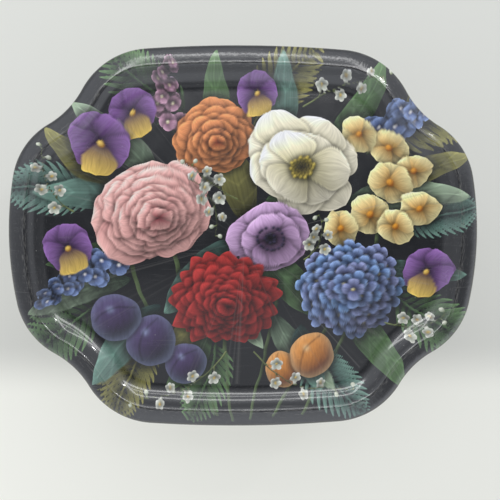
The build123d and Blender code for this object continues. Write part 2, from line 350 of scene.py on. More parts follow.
def stem(layer, points, width, tints, shade=0.35):
    """A stalk along a quadratic curve, narrower towards its end: the width less the distance to the curve."""
    steps = 32
    line = curve(points, np.linspace(0, 1, steps + 1))
    middle = line.mean(0)
    near, dx, dy = around(middle, np.hypot(*(line - middle).T).max() + stem_margin)
    here = np.stack([dx, dy], 1) + middle
    best = np.full(len(near), 1e9)
    side = np.zeros(len(near))
    where = np.zeros(len(near))
    for k in range(steps):
        run = line[k + 1] - line[k]
        part = np.clip((here - line[k]) @ run / (run @ run), 0, 1)
        off = here - line[k] - part[:, None] * run
        gap = np.hypot(off[:, 0], off[:, 1])
        closer = gap < best
        best = np.where(closer, gap, best)
        side = np.where(closer, off @ (light_x, light_y) / width, side)
        where = np.where(closer, (k + part) / steps, where)
    tint = tints[0] + (tints[1] - tints[0]) * np.clip(0.5 + 0.8 * side, 0, 1)[:, None]
    grain = np.full((len(near), 3), 0.5)
    lay_down(layer, near, width * (1 - 0.45 * where) - best, tint, grain, shade)


def bloom(
    layer, place, radius, whorls, tints, seed, root=0.7, tip=0.4, plump=1.0,
    lean=(0.0, 1.0), inner=0.25, shift=(0.0, 0.0), shade=0.5, glow=0.1, wave=0.06,
):
    """A flower of whorls laid from the outside in. Each whorl is its number of petals.

    The whorls shrink from the radius to inner times it, and their middles move by shift in all,
    as they do on a flower that is seen from one side. Chance varies each petal a little.
    """
    chance = np.random.default_rng(seed)
    for k, petals in enumerate(whorls):
        part = k / max(len(whorls) - 1, 1)
        length = radius * (1 - (1 - inner) * part)
        width = plump * length * sin(pi / petals)
        middle = (place[0] + part * shift[0], place[1] + part * shift[1])
        for j in chance.permutation(petals):
            turn = seed + 360 * (j + 0.5 * (k % 2) + 0.31 * k) / petals + chance.normal(0, 100 / petals**1.5)
            size = length * chance.normal(1, 0.05)
            facing = cos(radians(turn)) * light_x + sin(radians(turn)) * light_y
            gain = (1 - glow + 2 * glow * part) * chance.normal(1, 0.06) * (1 + 0.3 * facing)
            sway = chance.normal(0, 0.05)
            petal(layer, middle, turn, size, width, tints, root, tip, sway, lean, shade, gain, wave)


def fern(layer, place, turn, length, tints, bend):
    """A frond: a curved stalk with a pair of narrow leaflets at even steps, shorter towards the tip."""
    pairs = 14
    way = np.array([cos(radians(turn)), sin(radians(turn))])
    aside = np.array([-way[1], way[0]])
    spine = [place, np.array(place) + 0.5 * length * way, np.array(place) + length * (way + bend * aside)]
    for k in range(pairs):
        s = (k + 0.8) / (pairs + 0.5)
        heading = turn + degrees(atan2(2 * bend * s, 1))
        size = length * 0.36 * sin(pi * (0.2 + 0.78 * s)) + 3
        width = 0.045 * size + 0.7
        for side in (-1, 1):
            out = heading + side * (66 - 26 * s)
            petal(layer, curve(spine, s), out, size, width, tints, 0.4, 0.6, -0.14 * side, shade=0.1)
    stem(layer, spine, 1.3, tints)


def spike(layer, points, count, size, tints, eye, seed):
    """A flower spike: a stalk with five-petalled flowers set by the golden angle, smaller to its tip."""
    stem(layer, points, 1.6, ramp("#2c3a22", "#76845a"))
    chance = np.random.default_rng(seed)
    for k in range(count):
        s = (k + 0.5) / count
        radius = size * (1 - 0.62 * s)
        aside = 1.1 * radius * np.array([cos(radians(golden_angle * k)), sin(radians(golden_angle * k))])
        floret = curve(points, 0.12 + 0.88 * s) + aside
        spin, gain = chance.uniform(0, 72), chance.normal(0.95, 0.1)
        for j in range(5):
            petal(layer, floret, spin + 72 * j, radius, 0.52 * radius, tints, 0.7, 0.3, shade=0.4, gain=gain)
        disc(layer, floret, 0.17 * radius, eye, shade=0.1)


green, blue_green = ramp("#18261a", "#5d7a50"), ramp("#182b2b", "#6a8a7d")
olive, sage = ramp("#2b2c15", "#86824a"), ramp("#2c3c2f", "#94a78c")
leaves = blank_layer()
for start, pull, end in [
    ((-80, 10), (-60, -90), (-30, -186)),
    ((50, 60), (40, -70), (4, -190)),
    ((110, -50), (80, -120), (28, -188)),
    ((-20, -60), (-24, -120), (-14, -192)),
    ((-150, 90), (-120, -60), (-56, -182)),
    ((150, 50), (130, -90), (60, -184)),
]:
    stem(leaves, (start, pull, end), 2.6, ramp("#1f2b1a", "#66784e"))
for place_at, turn, length, tints, bend in [
    ((-140, -60), 208, 112, green, 0.15),
    ((140, 105), 26, 118, olive, -0.15),
    ((-60, 130), 152, 104, green, -0.2),
    ((60, -110), 302, 100, blue_green, 0.2),
    ((160, -60), -36, 104, green, 0.12),
    ((-150, 50), 172, 98, blue_green, 0.1),
    ((10, 120), 62, 100, olive, -0.2),
    ((-100, -100), 238, 96, olive, 0.15),
    ((-30, -110), 262, 84, green, -0.2),
    ((170, 20), 2, 74, blue_green, 0.2),
]:
    fern(leaves, place_at, turn, length, tints, bend)
for place_at, turn, length, width, tints, bend in [
    ((-105, 40), 166, 112, 17, blue_green, 0.16),
    ((-100, 0), 203, 112, 15, green, -0.18),
    ((-90, 60), 126, 118, 16, sage, 0.2),
    ((-20, 80), 106, 112, 15, green, -0.2),
    ((30, 80), 74, 112, 15, blue_green, 0.2),
    ((80, 80), 48, 124, 16, green, 0.2),
    ((105, 40), 12, 128, 18, sage, -0.16),
    ((120, -30), -12, 112, 16, blue_green, 0.16),
    ((100, -70), -40, 112, 17, green, -0.2),
    ((30, -80), -64, 104, 16, sage, 0.24),
    ((-40, -80), -106, 92, 17, green, -0.2),
    ((-90, -70), -142, 108, 17, blue_green, 0.2),
    ((-120, -40), 190, 112, 14, sage, 0.16),
    ((0, 0), 36, 116, 19, green, 0.14),
    ((0, 0), 214, 116, 20, blue_green, 0.14),
    ((0, -10), 328, 116, 20, green, -0.14),
    ((0, 20), 96, 88, 19, olive, 0.14),
    ((-30, -30), 250, 112, 16, olive, -0.14),
    ((60, -90), -84, 76, 15, blue_green, 0.2),
    ((140, 70), 0, 96, 14, olive, 0.2),
    ((-140, 60), 150, 84, 14, olive, -0.2),
    ((-30, -20), 286, 108, 15, sage, 0.2),
]:
    petal(leaves, place_at, turn, length, width, tints, 0.75, 0.85, bend, shade=0.5, wave=0.04)

blooms = blank_layer()
larkspur, pale_eye = ramp("#2a3f78", "#8fa6d8"), ramp("#c8c6d8", "#f2f0e8")
mallow, cream_eye = ramp("#6d3f5c", "#cfa1b8"), ramp("#d8cfa0", "#f4edd0")
spike(blooms, ((128, 92), (170, 150), (214, 140)), 24, 12, larkspur, pale_eye, 2)
spike(blooms, ((-130, -20), (-190, -40), (-214, -66)), 22, 11, larkspur, pale_eye, 3)
spike(blooms, ((-70, 110), (-96, 158), (-70, 186)), 16, 10, mallow, cream_eye, 6)
bloom(
    blooms, (-32, 108), 46, [12, 12, 11, 9, 7, 5], ramp("#8a2f16", "#e0925c"), 9,
    0.8, 0.5, 1.3, (15, 0.84), 0.2, (3, -7), glow=0.06,
)
lemon = ramp("#c98a2a", "#efe2a6")
for x, y, radius in [
    (150, 96, 20), (120, 112, 18), (178, 74, 19), (154, 60, 23),
    (184, 34, 20), (132, 28, 22), (160, 14, 19), (102, 12, 20),
]:
    bloom(blooms, (x, y), radius, [5], lemon, x, 0.7, 0.26, 1.15, (x, 0.84), 1, shade=0.45)
    disc(blooms, (x, y), radius * 0.17, ramp("#8f5215", "#e09a35"), shade=0.25)
for x, y, radius, spin in [
    (-116, 132, 24, 20), (-150, 100, 30, -8), (-186, -8, 25, 15), (194, -34, 25, -15), (12, 152, 21, 10),
]:
    for turn, size in [(125, 1.0), (55, 1.0), (195, 0.95), (-15, 0.95), (270, 1.05)]:
        face = ramp("#3c1a4c", "#dfbd5c") if turn == 270 else ramp("#2a1236", "#86609c")
        length, width = radius * size, radius * 0.62
        petal(blooms, (x, y), turn + spin, length, width, face, 0.6, 0.25, shade=0.45, wave=0.08)
    disc(blooms, (x, y), radius * 0.12, ramp("#a06f1c", "#ecc964"), shade=0.25)
bloom(
    blooms, (56, 82), 64, [7, 6], ramp("#a9a06a", "#eae3cc"), 8,
    0.8, 0.5, 1.05, (-30, 0.8), 0.74, (4, -5), glow=0.02, wave=0.09,
)
stamens = 46
for j in range(stamens):
    away, angle = 13 * sqrt((j + 0.5) / stamens), radians(golden_angle * j)
    stamen = (60 + away * cos(angle), 77 + 0.85 * away * sin(angle))
    disc(blooms, stamen, 2.0, ramp("#5f5a1a", "#d8bf5c"), shade=0.3)
for x, y, radius, turn in [(-64, -132, 23, 40), (-100, -108, 28, 70), (-138, -82, 27, 20)]:
    fruit(blooms, (x, y), radius, ramp("#100a1a", "#4b3a64", "#98a2c6"), turn)
for x, y, radius, turn in [(40, -140, 20, 100), (72, -124, 25, 60)]:
    fruit(blooms, (x, y), radius, ramp("#5f260c", "#d88f42", "#f2d6a2"), turn)
bloom(
    blooms, (-98, 30), 60, [8, 8, 7, 7, 6, 5, 4], ramp("#8c3440", "#e6b0a8"), 3,
    0.55, 0.24, 1.3, (20, 0.86), 0.2, (8, -8), glow=-0.06, wave=0.1,
)
mauve = ramp("#4f2c58", "#bd9cc0")
chance = np.random.default_rng(4)
florets, head = 59, 50
for j in reversed(range(florets)):
    away, angle = head * sqrt((j + 0.5) / florets), radians(golden_angle * j)
    floret = (112 + away * cos(angle), -52 + 0.88 * away * sin(angle))
    lit = 0.9 + 0.5 * (cos(angle) * light_x + sin(angle) * light_y) * away / head
    warmth = chance.uniform(0, 0.4)
    tints = [c * (1 - warmth) + v * warmth for c, v in zip(ramp("#244a86", "#84abdc"), mauve)]
    for q in range(4):
        petal(blooms, floret, 90 * q + 53 * j, 11.5, 5.6, tints, 0.6, 0.3, shade=0.45, gain=lit)
    disc(blooms, floret, 1.6, ramp("#b9a860", "#e6dfb4"), shade=0.1)
bloom(blooms, (26, 4), 42, [8, 7], mauve, 12, 0.6, 0.25, 1.3, (10, 0.84), 0.72, (2, -4), glow=0.02, wave=0.1)
inner_dots, ring_dots = 20, 20
for j in range(inner_dots + ring_dots):
    away = 14 if j >= inner_dots else 6 * sqrt((j + 0.5) / inner_dots)
    angle = radians(golden_angle * j)
    dot = (28 + away * cos(angle), 0.8 + 0.86 * away * sin(angle))
    disc(blooms, dot, 1.7, ramp("#0c0a14", "#3b3450"), shade=0.2)
bloom(
    blooms, (-22, -62), 60, [18, 17, 16, 14, 12, 10, 8, 6], ramp("#32060a", "#a8322f"), 5,
    0.8, 0.7, 1.35, (0, 0.86), 0.18, (2, -9), glow=0.14,
)

sprays = blank_layer()
open_flowers, buds = 5, 2
spray_green, spray_white = ramp("#36451f", "#8b9460"), ramp("#9aa48f", "#e6e6da")
for stalk in [
    ((-58, 66), (-26, 44), (-30, 4)),
    ((62, -20), (92, -2), (78, 26)),
    ((-8, 44), (-40, 58), (-62, 86)),
    ((10, -120), (40, -170), (118, -160)),
    ((-180, 30), (-214, 50), (-206, 98)),
    ((60, 140), (110, 170), (150, 168)),
    ((150, -90), (190, -100), (212, -78)),
    ((-20, -120), (-60, -176), (-120, -168)),
]:
    stem(sprays, stalk, 0.9, spray_green)
    for k in range(open_flowers + buds):
        s, side = 0.16 + 0.14 * k, (-1) ** k
        foot = curve(stalk, s)
        run = curve(stalk, s + 0.01) - curve(stalk, s)
        aside = np.array([-run[1], run[0]]) / np.hypot(*run)
        floret = foot + side * (9 - 0.7 * k) * aside + 9.5 * (1 - s) * run
        stem(sprays, (foot, (foot + floret) / 2 + run, floret), 0.7, spray_green)
        if k >= open_flowers:
            disc(sprays, floret, 2.4, ramp("#8f9a80", "#e2e4d2"), shade=0.2)
            continue
        for j in range(5):
            turn, size = 72 * j + 100 * s + 40 * k, 7.0 - 0.5 * k
            petal(sprays, floret, turn, size, 0.4 * size, spray_white, 0.7, 0.5, shade=0.3)
        disc(sprays, floret, 1.2, ramp("#a97c22", "#e6c658"), shade=0.1)

# The blooms throw a broad soft shadow on the leaves behind them.
bloom_shadow, bloom_shadow_reach, palest = 0.78, 6.5, 0.8
shadow = bloom_shadow * np.exp(-((np.minimum(blooms["ink"], 0) / bloom_shadow_reach) ** 2))
leaves["tint"] *= (1 - shadow)[:, None]
for name, layer in (("leaves", leaves), ("blooms", blooms), ("sprays", sprays)):
    ink = tray_mesh.attributes.new(name + "_ink", "FLOAT", "POINT")
    ink.data.foreach_set("value", np.clip(layer["ink"], -margin, margin).astype(np.float32))
    tint = tray_mesh.attributes.new(name + "_tint", "FLOAT_COLOR", "POINT")
    tints = np.column_stack([np.clip(layer["tint"], 0, palest), np.ones(len(plan_x))])
    tint.data.foreach_set("color", tints.astype(np.float32).ravel())
    grain = tray_mesh.attributes.new(name + "_grain", "FLOAT_VECTOR", "POINT")
    grain.data.foreach_set("vector", layer["grain"].astype(np.float32).ravel())


# The tray's finish, lacquered tinplate: the inks lie on black and have a soft gloss of their own, and one
# clear stoved coat over them mirrors the room. The crest and the hem are rubbed, hair scratches lie in
# patches on the floor, and slanting stretch lines on the drawn flange break up its shine.
# Wear reaches this far, in millimetres, down from the crest and in from the hem. The stretch lines begin
# this far outside the crest and come up to their full depth over the next few millimetres.
crest_wear, hem_wear, stretch_start, stretch_fade = 0.9, 0.8, 2, 5
crest_rub = np.exp(-(((tray_depth - section[:, 1]) / crest_wear) ** 2))
hem_rub = np.exp(-((section[:, 0] / hem_wear) ** 2))
drawn = np.clip((crest_x - stretch_start - section[:, 0]) / stretch_fade, 0, 1)
rim_state = np.column_stack([np.maximum(crest_rub, hem_rub), drawn, section[:, 0] * mm])
rim_state = np.concatenate([np.zeros((len(floor_points), 3)), np.repeat(rim_state, len(loop), 0)])
rim_line = np.concatenate([grid_edge, np.tile(grid_edge[loop], (len(section), 1))]) * mm
rim_line = np.column_stack([rim_line, rim_state[:, 2]])
for name, values in (("rim_state", rim_state), ("rim_line", rim_line)):
    field = tray_mesh.attributes.new(name, "FLOAT_VECTOR", "POINT")
    field.data.foreach_set("vector", values.astype(np.float32).ravel())


def add(tree, kind, links=None, **settings):
    """Adds one shader node with its settings, sets or links its inputs, and gives its outputs.

    The colours that a Mix node blends are its inputs 6 and 7, and their blend is its output 2.
    """
    node = tree.nodes.new("ShaderNode" + kind)
    for name, value in settings.items():
        setattr(node, name, value)
    for name, value in (links or {}).items():
        if isinstance(value, bpy.types.NodeSocket):
            tree.links.new(value, node.inputs[name])
        else:
            node.inputs[name].default_value = value
    return node.outputs


def finish_of(name, links):
    """A new material with a principled surface, its node tree and the coordinates of its patterns."""
    material = bpy.data.materials.new(name)
    material.use_nodes = True
    surface = material.node_tree.nodes["Principled BSDF"]
    for socket, value in links.items():
        surface.inputs[socket].default_value = value
    where = add(material.node_tree, "TexCoord")["Object"]
    return material, material.node_tree, surface.inputs, where


def rgba(code):
    """An sRGB hex colour as the four linear values that a colour socket takes."""
    return (*linear(code), 1.0)


def hairlines(tree, where, turn, length, width):
    """Straight scratches of a length and a width in mm, at a turn in degrees: tops of a drawn-out noise."""
    stretch = (1 / (length * mm), 1 / (width * mm), 1 / (length * mm))
    laid = add(tree, "Mapping", {"Vector": where, "Rotation": (0, 0, radians(turn)), "Scale": stretch})[0]
    line = add(tree, "TexNoise", {"Vector": laid, "Scale": 1.0, "Detail": 1.0})[0]
    return add(tree, "MapRange", {"Value": line, "From Min": 0.70, "From Max": 0.76})[0]


def mottle(tree, surface, pattern, tints, roughness):
    """Lets one pattern lead a finish, its tint from one colour to another and its roughness likewise.

    It gives the tint, so that wear can be laid over it.
    """
    shade = {"Factor": pattern, 6: rgba(tints[0]), 7: rgba(tints[1])}
    tint = add(tree, "Mix", shade, data_type="RGBA")[2]
    smooth, rough = roughness
    dull = {"Value": pattern, "From Min": 0.3, "From Max": 0.7, "To Min": smooth, "To Max": rough}
    tree.links.new(add(tree, "MapRange", dull)[0], surface["Roughness"])
    tree.links.new(tint, surface["Base Color"])
    return tint


lacquer, tree, surface, where = finish_of(
    "lacquered_tinplate", {"Coat Weight": 1.0, "Coat Roughness": 0.03, "Coat IOR": 1.5}
)
colour = rgba("#16171a")
for name in ("leaves", "blooms", "sprays"):
    ink = add(tree, "Attribute", attribute_name=name + "_ink")["Fac"]
    tint = add(tree, "Attribute", attribute_name=name + "_tint")["Color"]
    grain = add(tree, "Attribute", attribute_name=name + "_grain")["Vector"]
    # Brush streaks run from a petal's root to its tip: about ten to its width, each about half its length.
    # A leaf also has a pale rib, and pale side veins that slant towards its tip.
    drawn_out = add(tree, "VectorMath", {0: grain, 1: (10.0, 2.4, 1.4)}, operation="MULTIPLY")[0]
    streak = add(tree, "TexNoise", {"Vector": drawn_out, "Scale": 1.0, "Detail": 3.0})[0]
    levels = {"Value": streak, "From Min": 0.25, "From Max": 0.75, "To Min": 0.78, "To Max": 1.2}
    depth = add(tree, "MapRange", levels)[0]
    if name == "leaves":
        part = add(tree, "SeparateXYZ", {"Vector": grain})
        aside = add(tree, "Math", {0: part["X"]}, operation="ABSOLUTE")[0]
        slanted = add(tree, "Math", {0: aside, 1: -0.16, 2: part["Y"]}, operation="MULTIPLY_ADD")[0]
        comb = add(tree, "Math", {0: slanted, 1: 1 / 9}, operation="PINGPONG")[0]
        vein = add(tree, "MapRange", {"Value": comb, "From Max": 0.03, "To Min": 1.35, "To Max": 1.0})[0]
        rib = add(tree, "MapRange", {"Value": aside, "From Max": 0.12, "To Min": 1.5, "To Max": 1.0})[0]
        depth = add(tree, "Math", {0: depth, 1: vein}, operation="MULTIPLY")[0]
        depth = add(tree, "Math", {0: depth, 1: rib}, operation="MULTIPLY")[0]
    veined = add(tree, "VectorMath", {0: tint, "Scale": depth}, operation="SCALE")[0]
    edge = {"Value": ink, "From Min": -0.35, "From Max": 0.35}
    cut = add(tree, "MapRange", edge, interpolation_type="SMOOTHSTEP")[0]
    colour = add(tree, "Mix", {"Factor": cut, 6: colour, 7: veined}, data_type="RGBA")[2]
# Real scratches are 0.1 mm wide and dust is finer. Both are drawn at about 0.6 mm, so that a picture
# holds them.
scratches = {0: hairlines(tree, where, 24, 45, 0.6), 1: hairlines(tree, where, -58, 60, 0.6)}
scratch = add(tree, "Math", scratches, operation="MAXIMUM")[0]
patch = add(tree, "TexNoise", {"Vector": where, "Scale": 1 / (55 * mm)})[0]
patch = add(tree, "MapRange", {"Value": patch, "From Min": 0.48, "From Max": 0.66, "To Max": 0.16})[0]
scratch = add(tree, "Math", {0: scratch, 1: patch}, operation="MULTIPLY")[0]
colour = add(tree, "Mix", {"Factor": scratch, 6: colour, 7: rgba("#b4b3ae")}, data_type="RGBA")[2]
speck = add(tree, "TexVoronoi", {"Vector": where, "Scale": 1 / (24 * mm)})["Distance"]
grains = {"Value": speck, "From Min": 0.012, "From Max": 0.03, "To Min": 0.4, "To Max": 0.0}
dust = add(tree, "MapRange", grains)[0]
colour = add(tree, "Mix", {"Factor": dust, 6: colour, 7: rgba("#a9a8a2")}, data_type="RGBA")[2]
state = add(tree, "Attribute", attribute_name="rim_state")["Vector"]
state = add(tree, "SeparateXYZ", {"Vector": state})
run = add(tree, "Attribute", attribute_name="rim_line")["Vector"]
along = add(tree, "Mapping", {"Vector": run, "Scale": (1 / (7 * mm), 1 / (7 * mm), 1 / (0.8 * mm))})[0]
chips = add(tree, "TexNoise", {"Vector": along, "Scale": 1.0, "Detail": 4.0})[0]
chips = add(tree, "Math", {0: state["X"], 1: 0.16, 2: chips}, operation="MULTIPLY_ADD")[0]
worn = add(tree, "MapRange", {"Value": chips, "From Min": 0.60, "From Max": 0.86, "To Max": 0.4})[0]
colour = add(tree, "Mix", {"Factor": worn, 6: colour, 7: rgba("#85837e")}, data_type="RGBA")[2]
tree.links.new(colour, surface["Base Color"])
smear = add(tree, "TexNoise", {"Vector": where, "Scale": 1 / (18 * mm), "Detail": 3.0})[0]
gloss = {"Value": smear, "From Min": 0.3, "From Max": 0.7, "To Min": 0.16, "To Max": 0.28}
tree.links.new(add(tree, "MapRange", gloss)[0], surface["Roughness"])
sag = add(tree, "TexNoise", {"Vector": where, "Scale": 1 / (36 * mm), "Detail": 1.0})[0]
slant = (radians(35), radians(35), 0)
pitch = (1 / (2.4 * mm), 1 / (2.4 * mm), 1 / (10 * mm))
across = add(tree, "Mapping", {"Vector": run, "Rotation": slant, "Scale": pitch})[0]
strain = add(tree, "TexNoise", {"Vector": across, "Scale": 1.0, "Detail": 2.0})[0]
strength = add(tree, "Math", {0: state["Y"], 1: 5.0}, operation="MULTIPLY")[0]
strain = add(tree, "Math", {0: strain, 1: strength}, operation="MULTIPLY")[0]
height = add(tree, "Math", {0: sag, 1: 0.6, 2: strain}, operation="MULTIPLY_ADD")[0]
height = add(tree, "Math", {0: height, 1: scratch}, operation="SUBTRACT")[0]
skin = add(tree, "Bump", {"Height": height, "Distance": 0.08 * mm})[0]
tree.links.new(skin, surface["Coat Normal"])

# The back of the sheet has one sprayed coat of black enamel: half matt, cloudy and a little scuffed.
backing, tree, surface, where = finish_of("black_backing_enamel", {"Coat Weight": 0.3, "Coat Roughness": 0.2})
cloud = add(tree, "TexNoise", {"Vector": where, "Scale": 1 / (14 * mm), "Detail": 3.0})[0]
colour = mottle(tree, surface, cloud, ("#171719", "#232326"), (0.34, 0.5))
scuff = add(tree, "Math", {0: hairlines(tree, where, 70, 30, 0.7), 1: 0.25}, operation="MULTIPLY")[0]
colour = add(tree, "Mix", {"Factor": scuff, 6: colour, 7: rgba("#77757a")}, data_type="RGBA")[2]
tree.links.new(colour, surface["Base Color"])
peel = add(tree, "TexNoise", {"Vector": where, "Scale": 1 / (6 * mm)})[0]
tree.links.new(add(tree, "Bump", {"Height": peel, "Distance": 0.1 * mm})[0], surface["Normal"])
tray_mesh.materials.append(lacquer)
tray_mesh.materials.append(backing)


# The hinge brackets, four channels folded from 1.5 mm strip and spot-welded under the floor. Bright zinc
# plate keeps them from rust: a pale grey with a soft cloud in it and the fine lines of the rolled strip.
def dress(prefix, material):
    """Gives one finish to every CAD node whose name starts with a prefix."""
    for name, node in frame["nodes"].items():
        if name.startswith(prefix):
            node.data.materials.clear()
            node.data.materials.append(material)


zinc, tree, surface, where = finish_of("bright_zinc_plate", {"Metallic": 1.0})
cloud = add(tree, "TexNoise", {"Vector": where, "Scale": 1 / (4.5 * mm), "Detail": 4.0})[0]
mottle(tree, surface, cloud, ("#8f9296", "#c4c7ca"), (0.28, 0.5))
rolled = hairlines(tree, where, 90, 12, 0.3)
tree.links.new(add(tree, "Bump", {"Height": rolled, "Distance": 0.02 * mm})[0], surface["Normal"])
dress("hinge_bracket", zinc)


# The pivot pins, steel rivets through both ears of a bracket, with turned domes and a nickel flash. The
# turning leaves faint rings 0.5 mm apart about the pin's axis.
pin_low, pin_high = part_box("pivot_pin_right_back")
pin_x, pin_z = (pin_low.x + pin_high.x) / 2, (pin_low.z + pin_high.z) / 2
nickel, tree, surface, where = finish_of("nickel_plated_steel", {"Metallic": 1.0})
cloud = add(tree, "TexNoise", {"Vector": where, "Scale": 1 / (2.5 * mm)})[0]
mottle(tree, surface, cloud, ("#a8a298", "#d2ccc0"), (0.16, 0.32))
mirrored = add(tree, "VectorMath", {0: where}, operation="ABSOLUTE")[0]
flat = add(tree, "VectorMath", {0: mirrored, 1: (1, 0, 1)}, operation="MULTIPLY")[0]
away = add(tree, "VectorMath", {0: flat, 1: (pin_x, 0, pin_z)}, operation="DISTANCE")["Value"]
rings = add(tree, "Math", {0: away, 1: 0.25 * mm}, operation="PINGPONG")[0]
# The height is a length already, and the bump takes a twentieth of it.
tree.links.new(add(tree, "Bump", {"Height": rings, "Distance": 1 / 20})[0], surface["Normal"])
dress("pivot_pin", nickel)


# The pivot washers, punched from milky nylon sheet, one on each side of a knuckle. Light goes a little way
# into them, and grease has greyed them in places.
nylon, tree, surface, where = finish_of(
    "natural_nylon", {"Subsurface Weight": 0.3, "Subsurface Scale": 2 * mm}
)
cloud = add(tree, "TexNoise", {"Vector": where, "Scale": 1 / (3.3 * mm)})[0]
mottle(tree, surface, cloud, ("#cfc8b6", "#ece8da"), (0.32, 0.5))
pit = add(tree, "TexNoise", {"Vector": where, "Scale": 1 / (0.8 * mm)})[0]
tree.links.new(add(tree, "Bump", {"Height": pit, "Distance": 0.02 * mm})[0], surface["Normal"])
dress("pivot_washers", nylon)


# The leg tubes, 10 mm steel tube bent to a trapezium and dipped in black stoving enamel, which flows out
# smooth with a faint orange peel. The clips have rubbed the rails, and knocks have chipped them near the
# floor.
clip_low, clip_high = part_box("rail_clip_back")
clip_y = abs(clip_low.y + clip_high.y) / 2
enamel, tree, surface, where = finish_of("black_stoving_enamel", {"Coat Weight": 0.5, "Coat Roughness": 0.12})
mirrored = add(tree, "VectorMath", {0: where}, operation="ABSOLUTE")[0]
part = add(tree, "SeparateXYZ", {"Vector": mirrored})
low = {"Value": part["Z"], "From Min": 14 * mm, "From Max": 60 * mm, "To Min": 1.0, "To Max": 0.0}
low = add(tree, "MapRange", low)[0]
from_clip = add(tree, "Math", {0: part["Y"], 1: clip_y, 2: 4 * mm}, operation="COMPARE")[0]
rubbed = add(tree, "Math", {0: from_clip, 1: low}, operation="MULTIPLY")[0]
chips = add(tree, "TexNoise", {"Vector": where, "Scale": 1 / (3 * mm), "Detail": 4.0})[0]
chips = add(tree, "Math", {0: low, 1: 0.05, 2: chips}, operation="MULTIPLY_ADD")[0]
chips = add(tree, "Math", {0: rubbed, 1: 0.12, 2: chips}, operation="MULTIPLY_ADD")[0]
worn = add(tree, "MapRange", {"Value": chips, "From Min": 0.68, "From Max": 0.72, "To Max": 0.8})[0]
cloud = add(tree, "TexNoise", {"Vector": where, "Scale": 1 / (16 * mm), "Detail": 3.0})[0]
colour = add(tree, "Mix", {"Factor": cloud, 6: rgba("#161617"), 7: rgba("#222224")}, data_type="RGBA")[2]
colour = add(tree, "Mix", {"Factor": worn, 6: colour, 7: rgba("#7b7872")}, data_type="RGBA")[2]
tree.links.new(colour, surface["Base Color"])
dull = add(tree, "MapRange", {"Value": worn, "To Min": 0.3, "To Max": 0.5})[0]
tree.links.new(dull, surface["Roughness"])
peel = add(tree, "TexNoise", {"Vector": where, "Scale": 1 / (2 * mm), "Detail": 1.0})[0]
peel = add(tree, "Math", {0: worn, 1: -2.0, 2: peel}, operation="MULTIPLY_ADD")[0]
tree.links.new(add(tree, "Bump", {"Height": peel, "Distance": 0.02 * mm})[0], surface["Normal"])
dress("leg_tube", enamel)


# The leg knuckles, moulded in black glass-filled nylon and pressed into the tube ends. The fill leaves a
# dry, slightly mottled skin beside the glossy tube.
moulding, tree, surface, where = finish_of("black_glass_filled_nylon", {})
fleck = add(tree, "TexNoise", {"Vector": where, "Scale": 1 / (1.1 * mm), "Detail": 3.0})[0]
mottle(tree, surface, fleck, ("#1d1d1e", "#323234"), (0.48, 0.64))
tree.links.new(add(tree, "Bump", {"Height": fleck, "Distance": 0.04 * mm})[0], surface["Normal"])
dress("leg_knuckle", moulding)


# The floor glides, sleeves of soft black rubber pushed over the rails, each with a flat sole. Rubber has
# no gloss, greys a little with dust, and is worn paler at the sole.
rubber, tree, surface, where = finish_of("matt_black_rubber", {})
part = add(tree, "SeparateXYZ", {"Vector": where})
dust = add(tree, "TexNoise", {"Vector": where, "Scale": 1 / (2.8 * mm), "Detail": 4.0})[0]
colour = mottle(tree, surface, dust, ("#202021", "#3a3a3a"), (0.72, 0.9))
sole = {"Value": part["Z"], "From Min": 0.5 * mm, "From Max": 3 * mm, "To Min": 0.35, "To Max": 0.0}
sole = add(tree, "MapRange", sole)[0]
colour = add(tree, "Mix", {"Factor": sole, 6: colour, 7: rgba("#8a8781")}, data_type="RGBA")[2]
tree.links.new(colour, surface["Base Color"])
pit = add(tree, "TexNoise", {"Vector": where, "Scale": 1 / (0.9 * mm)})[0]
tree.links.new(add(tree, "Bump", {"Height": pit, "Distance": 0.04 * mm})[0], surface["Normal"])
dress("floor_glide", rubber)


# The rail clips, bent from 0.8 mm spring strip and tempered, which leaves a blue-grey oxide with patches of
# straw. They snap over both rails when the legs are folded, and the rolled strip's lines run along them.
spring, tree, surface, where = finish_of("blued_spring_steel", {"Metallic": 1.0})
temper = add(tree, "TexNoise", {"Vector": where, "Scale": 1 / (7.5 * mm), "Detail": 3.0})[0]
colour = mottle(tree, surface, temper, ("#4a5468", "#8a8b94"), (0.28, 0.42))
straw = add(tree, "TexNoise", {"Vector": where, "Scale": 1 / (12 * mm)})[0]
straw = add(tree, "MapRange", {"Value": straw, "From Min": 0.52, "From Max": 0.66, "To Max": 0.5})[0]
colour = add(tree, "Mix", {"Factor": straw, 6: colour, 7: rgba("#a08c66")}, data_type="RGBA")[2]
tree.links.new(colour, surface["Base Color"])
rolled = hairlines(tree, where, 0, 12, 0.3)
tree.links.new(add(tree, "Bump", {"Height": rolled, "Distance": 0.02 * mm})[0], surface["Normal"])
dress("rail_clip", spring)


